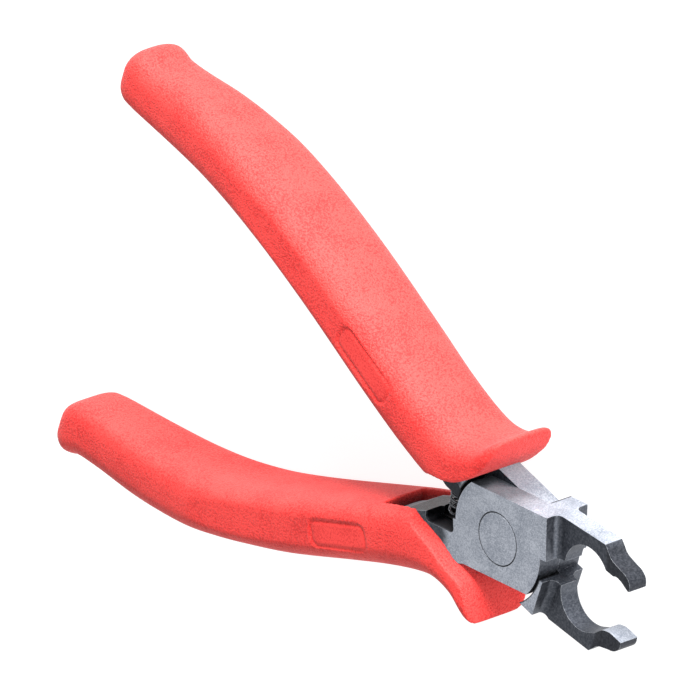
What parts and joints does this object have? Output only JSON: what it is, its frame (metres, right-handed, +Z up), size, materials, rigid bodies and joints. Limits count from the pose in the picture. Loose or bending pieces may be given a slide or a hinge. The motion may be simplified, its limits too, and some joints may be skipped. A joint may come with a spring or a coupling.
{
  "type": "crimping pliers",
  "caption": "Lap-jointed crimping pliers with hooked jaws round an open ring, moulded grips with thumb guards, and a return spring in the crotch.",
  "frame": {"origin": "middle of the open pliers' footprint, on the surface that the grips lie on", "axes": "+Z up along the rivet, +X from the handles to the jaws along the line midway between them"},
  "size_m": [0.1454, 0.092, 0.018],
  "materials": {
    "forged_steel": "ground on the flat faces, black oxide in the forged hollows and on the jaws",
    "rivet_steel": "ground flush with the joint",
    "grip_vinyl": "satin with a fine pebbled grain",
    "spring_wire": "bright drawn wire"
  },
  "bodies": {
    "front": {"front_half": "forged_steel", "front_grip": "grip_vinyl"},
    "rear": {"rear_half": "forged_steel", "pivot_rivet": "rivet_steel", "rear_grip": "grip_vinyl", "return_spring": "spring_wire"}
  },
  "joints": [
    {"name": "pivot", "type": "hinge", "parent": "front", "child": "rear", "pos_m": [0.04148, 0, 0.009], "axis": [0, 0, 1], "range_deg": [0, 19], "stiffness_Nm_per_rad": 0.6, "springref_deg": -8.59, "deforming": ["return_spring"]}
  ]
}
